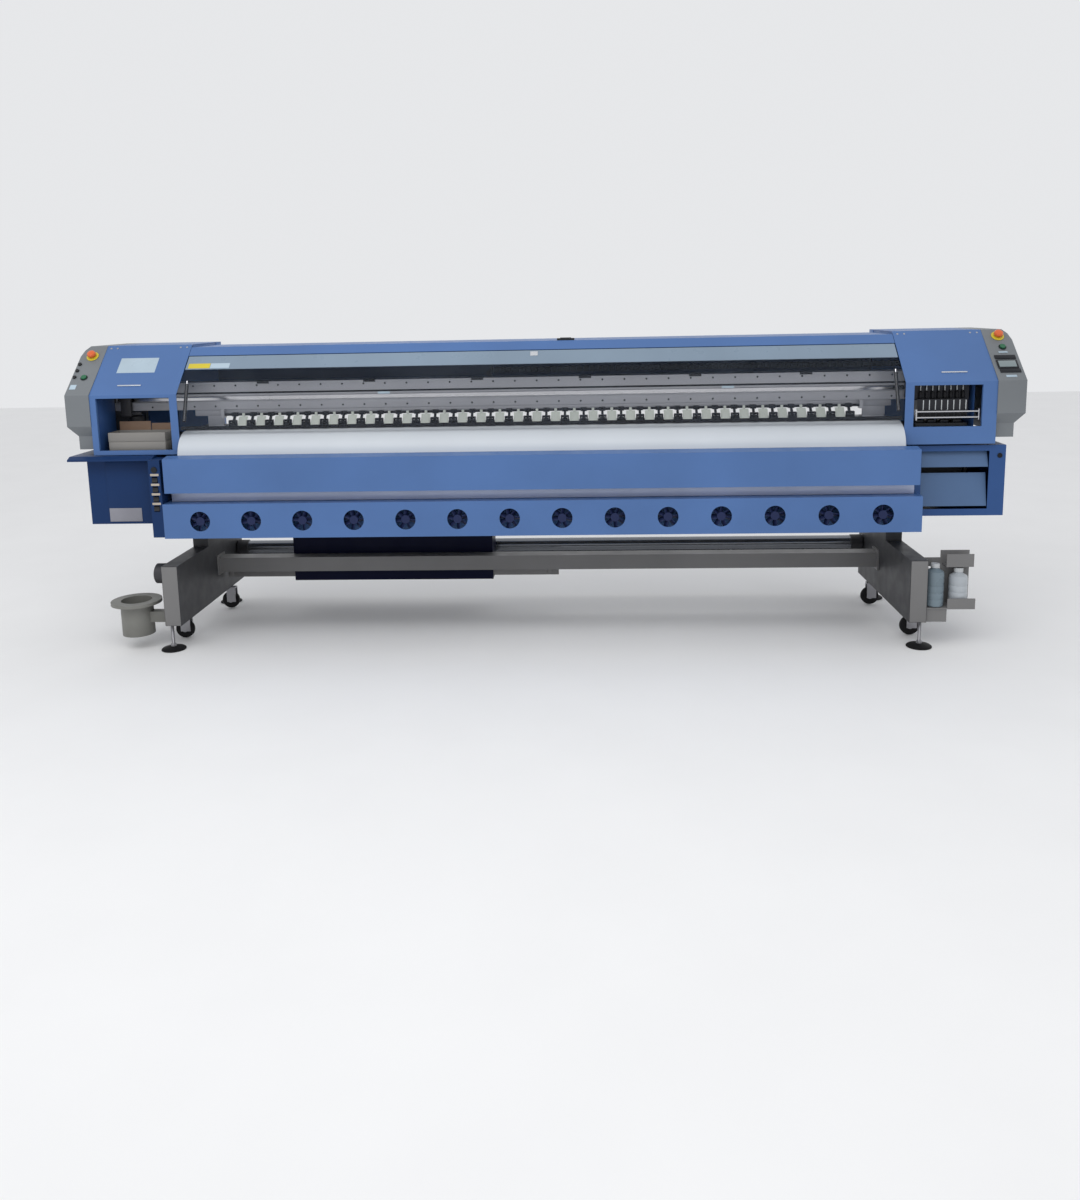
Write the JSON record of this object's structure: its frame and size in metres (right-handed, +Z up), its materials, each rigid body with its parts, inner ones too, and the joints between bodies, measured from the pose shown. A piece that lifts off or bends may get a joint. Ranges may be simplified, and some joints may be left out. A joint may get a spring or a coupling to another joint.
{
  "type": "wide-format roll printer",
  "caption": "Wide roll-fed inkjet printer on leg frames, with a lid over the print bed, end bays, a fan drying unit across the front, casters and levelling feet.",
  "frame": {"origin": "middle of the floor rectangle under the whole machine", "axes": "+X right as seen from the front, the operator front faces -Y, +Z up"},
  "size_m": [4.22, 0.9, 1.3933],
  "materials": {
    "blue_paint": "satin",
    "grey_moulding": "matt",
    "grey_paint": "satin",
    "pale_blue_paint": "satin",
    "navy_paint": "satin",
    "white_enamel": "gloss",
    "bed_aluminium": "satin",
    "beam_aluminium": "satin",
    "light_grey_paint": "satin",
    "clear_acrylic": "clear",
    "carriage_metal": "satin",
    "black_plastic": "matt",
    "grit_steel": "rough",
    "black_rubber": "matt",
    "bottle_plastic": "satin",
    "bucket_plastic": "matt",
    "dark_steel": "satin",
    "strut_black": "satin",
    "chrome_rod": "polished",
    "stop_red": "gloss",
    "start_green": "gloss",
    "key_black": "matt",
    "zinc_steel": "bright zinc"
  },
  "bodies": {
    "machine": {"bottle_rack": "grey_paint", "crossbeam": "grey_paint", "dryer_fans": "black_plastic", "dryer_panel": "blue_paint", "electrical_box": "navy_paint", "fan_box": "blue_paint", "front_platen": "white_enamel", "guide_beam": "beam_aluminium", "ink_bay_panels": "pale_blue_paint", "ink_bottles": "bottle_plastic", "left_cabinet": "blue_paint", "left_end_cap": "grey_moulding", "left_hood": "blue_paint", "left_leg": "grey_paint", "main_frame": "grey_paint", "print_bed": "bed_aluminium", "rear_cover": "blue_paint", "rear_platen": "white_enamel", "right_cabinet": "blue_paint", "right_end_cap": "grey_moulding", "right_hood": "blue_paint", "right_leg": "grey_paint", "switch_plate": "grey_moulding", "top_cover": "blue_paint", "waste_bucket": "bucket_plastic"},
    "lid": {"lid_rail": "light_grey_paint", "lid_window": "clear_acrylic"},
    "left_strut_tube": {"left_strut_tube": "strut_black"},
    "left_strut_rod": {"left_strut_rod": "chrome_rod"},
    "right_strut_tube": {"right_strut_tube": "strut_black"},
    "right_strut_rod": {"right_strut_rod": "chrome_rod"},
    "carriage": {"carriage": "carriage_metal", "chain_run": "black_plastic"},
    "chain_bend": {"chain_bend": "black_plastic"},
    "grit_roller": {"grit_roller": "grit_steel"},
    "pinch_arms": {"pinch_arms": "black_plastic"},
    "pinch_wheels": {"pinch_wheels": "black_rubber"},
    "front_left_caster_fork": {"front_left_caster_fork": "zinc_steel"},
    "front_left_caster_wheel": {"front_left_caster_wheel": "black_rubber"},
    "rear_left_caster_fork": {"rear_left_caster_fork": "zinc_steel"},
    "rear_left_caster_wheel": {"rear_left_caster_wheel": "black_rubber"},
    "front_left_foot": {"front_left_foot": "black_rubber"},
    "rear_left_foot": {"rear_left_foot": "black_rubber"},
    "front_right_caster_fork": {"front_right_caster_fork": "zinc_steel"},
    "front_right_caster_wheel": {"front_right_caster_wheel": "black_rubber"},
    "rear_right_caster_fork": {"rear_right_caster_fork": "zinc_steel"},
    "rear_right_caster_wheel": {"rear_right_caster_wheel": "black_rubber"},
    "front_right_foot": {"front_right_foot": "black_rubber"},
    "rear_right_foot": {"rear_right_foot": "black_rubber"},
    "left_stop": {"left_stop": "stop_red"},
    "left_start": {"left_start": "start_green"},
    "right_stop": {"right_stop": "stop_red"},
    "right_start": {"right_start": "start_green"},
    "left_keys": {"left_keys": "key_black"},
    "rocker_1": {"rocker_1": "key_black"},
    "rocker_2": {"rocker_2": "key_black"},
    "rocker_3": {"rocker_3": "key_black"},
    "rocker_4": {"rocker_4": "key_black"},
    "feed_shaft": {"feed_shaft": "dark_steel"},
    "take_up_shaft": {"take_up_shaft": "dark_steel"}
  },
  "joints": [
    {"name": "lid_hinge", "type": "hinge", "parent": "machine", "child": "lid", "pos_m": [0, -0.178, 1.32929], "axis": [-1, 0, 0], "range_deg": [0, 70]},
    {"name": "left_strut_swing", "type": "hinge", "parent": "machine", "child": "left_strut_tube", "pos_m": [-1.578, -0.338, 1.052], "axis": [1, 0, 0], "range_deg": [0, 15.54]},
    {"name": "left_strut_stroke", "type": "slide", "parent": "left_strut_tube", "child": "left_strut_rod", "axis": [0, 0.3604, 0.9328], "range_m": [0, 0.1426]},
    {"name": "right_strut_swing", "type": "hinge", "parent": "machine", "child": "right_strut_tube", "pos_m": [1.578, -0.338, 1.052], "axis": [1, 0, 0], "range_deg": [0, 15.54]},
    {"name": "right_strut_stroke", "type": "slide", "parent": "right_strut_tube", "child": "right_strut_rod", "axis": [0, 0.3604, 0.9328], "range_m": [0, 0.1426]},
    {"name": "carriage_travel", "type": "slide", "parent": "machine", "child": "carriage", "axis": [-1, 0, 0], "range_m": [0, 3.44], "deforming": ["chain_run"]},
    {"name": "chain_bend_travel", "type": "slide", "parent": "machine", "child": "chain_bend", "axis": [-1, 0, 0], "range_m": [0, 1.72]},
    {"name": "grit_spin", "type": "hinge", "parent": "machine", "child": "grit_roller", "pos_m": [0, -0.2, 0.988], "axis": [1, 0, 0], "continuous": true},
    {"name": "pinch_lift", "type": "hinge", "parent": "machine", "child": "pinch_arms", "pos_m": [0, -0.16, 1.062], "axis": [-1, 0, 0], "range_deg": [0, 10]},
    {"name": "pinch_spin", "type": "hinge", "parent": "pinch_arms", "child": "pinch_wheels", "pos_m": [0, -0.2, 1.0173], "axis": [1, 0, 0], "continuous": true},
    {"name": "front_left_caster_swivel", "type": "hinge", "parent": "machine", "child": "front_left_caster_fork", "pos_m": [-1.6725, -0.215, 0.1], "axis": [0, 0, 1], "continuous": true},
    {"name": "front_left_caster_roll", "type": "hinge", "parent": "front_left_caster_fork", "child": "front_left_caster_wheel", "pos_m": [-1.6975, -0.215, 0.048], "axis": [0, 1, 0], "continuous": true},
    {"name": "rear_left_caster_swivel", "type": "hinge", "parent": "machine", "child": "rear_left_caster_fork", "pos_m": [-1.6725, 0.27, 0.1], "axis": [0, 0, 1], "continuous": true},
    {"name": "rear_left_caster_roll", "type": "hinge", "parent": "rear_left_caster_fork", "child": "rear_left_caster_wheel", "pos_m": [-1.6475, 0.27, 0.048], "axis": [0, 1, 0], "continuous": true},
    {"name": "front_left_foot_screw", "type": "slide", "parent": "machine", "child": "front_left_foot", "axis": [0, 0, -1], "range_m": [-0.03, 0.03]},
    {"name": "rear_left_foot_screw", "type": "slide", "parent": "machine", "child": "rear_left_foot", "axis": [0, 0, -1], "range_m": [-0.03, 0.03]},
    {"name": "front_right_caster_swivel", "type": "hinge", "parent": "machine", "child": "front_right_caster_fork", "pos_m": [1.6725, -0.215, 0.1], "axis": [0, 0, 1], "continuous": true},
    {"name": "front_right_caster_roll", "type": "hinge", "parent": "front_right_caster_fork", "child": "front_right_caster_wheel", "pos_m": [1.6975, -0.215, 0.048], "axis": [0, 1, 0], "continuous": true},
    {"name": "rear_right_caster_swivel", "type": "hinge", "parent": "machine", "child": "rear_right_caster_fork", "pos_m": [1.6725, 0.27, 0.1], "axis": [0, 0, 1], "continuous": true},
    {"name": "rear_right_caster_roll", "type": "hinge", "parent": "rear_right_caster_fork", "child": "rear_right_caster_wheel", "pos_m": [1.6475, 0.27, 0.048], "axis": [0, 1, 0], "continuous": true},
    {"name": "front_right_foot_screw", "type": "slide", "parent": "machine", "child": "front_right_foot", "axis": [0, 0, -1], "range_m": [-0.03, 0.03]},
    {"name": "rear_right_foot_screw", "type": "slide", "parent": "machine", "child": "rear_right_foot", "axis": [0, 0, -1], "range_m": [-0.03, 0.03]},
    {"name": "left_stop_press", "type": "slide", "parent": "machine", "child": "left_stop", "axis": [0, 0.6795, -0.7337], "range_m": [0, 0.006]},
    {"name": "left_start_press", "type": "slide", "parent": "machine", "child": "left_start", "axis": [0, 0.6795, -0.7337], "range_m": [0, 0.003], "stiffness_N_per_m": 400, "springref_m": -0.003},
    {"name": "right_stop_press", "type": "slide", "parent": "machine", "child": "right_stop", "axis": [0, 0.6795, -0.7337], "range_m": [0, 0.006]},
    {"name": "right_start_press", "type": "slide", "parent": "machine", "child": "right_start", "axis": [0, 0.6795, -0.7337], "range_m": [0, 0.003], "stiffness_N_per_m": 400, "springref_m": -0.003},
    {"name": "left_keys_press", "type": "slide", "parent": "machine", "child": "left_keys", "axis": [0, 0.6795, -0.7337], "range_m": [0, 0.003], "stiffness_N_per_m": 400, "springref_m": -0.003},
    {"name": "rocker_1_tilt", "type": "hinge", "parent": "machine", "child": "rocker_1", "pos_m": [-1.687, -0.438, 0.805], "axis": [1, 0, 0], "range_deg": [0, 12]},
    {"name": "rocker_2_tilt", "type": "hinge", "parent": "machine", "child": "rocker_2", "pos_m": [-1.687, -0.438, 0.762], "axis": [1, 0, 0], "range_deg": [0, 12]},
    {"name": "rocker_3_tilt", "type": "hinge", "parent": "machine", "child": "rocker_3", "pos_m": [-1.687, -0.438, 0.719], "axis": [1, 0, 0], "range_deg": [0, 12]},
    {"name": "rocker_4_tilt", "type": "hinge", "parent": "machine", "child": "rocker_4", "pos_m": [-1.687, -0.438, 0.676], "axis": [1, 0, 0], "range_deg": [0, 12]},
    {"name": "feed_shaft_spin", "type": "hinge", "parent": "machine", "child": "feed_shaft", "pos_m": [0, 0.388, 0.298], "axis": [1, 0, 0], "continuous": true},
    {"name": "take_up_shaft_spin", "type": "hinge", "parent": "machine", "child": "take_up_shaft", "pos_m": [0, 0.388, 0.228], "axis": [1, 0, 0], "continuous": true}
  ],
  "couplings": [
    {"joint": "left_strut_swing", "follows": "lid_hinge", "ratio": 0.2191},
    {"joint": "left_strut_stroke", "follows": "lid_hinge", "m_per_rad": 0.11631},
    {"joint": "right_strut_swing", "follows": "lid_hinge", "ratio": 0.2191},
    {"joint": "right_strut_stroke", "follows": "lid_hinge", "m_per_rad": 0.11631},
    {"joint": "chain_bend_travel", "follows": "carriage_travel", "ratio": 0.5},
    {"joint": "pinch_spin", "follows": "grit_spin", "ratio": -1.4167}
  ]
}
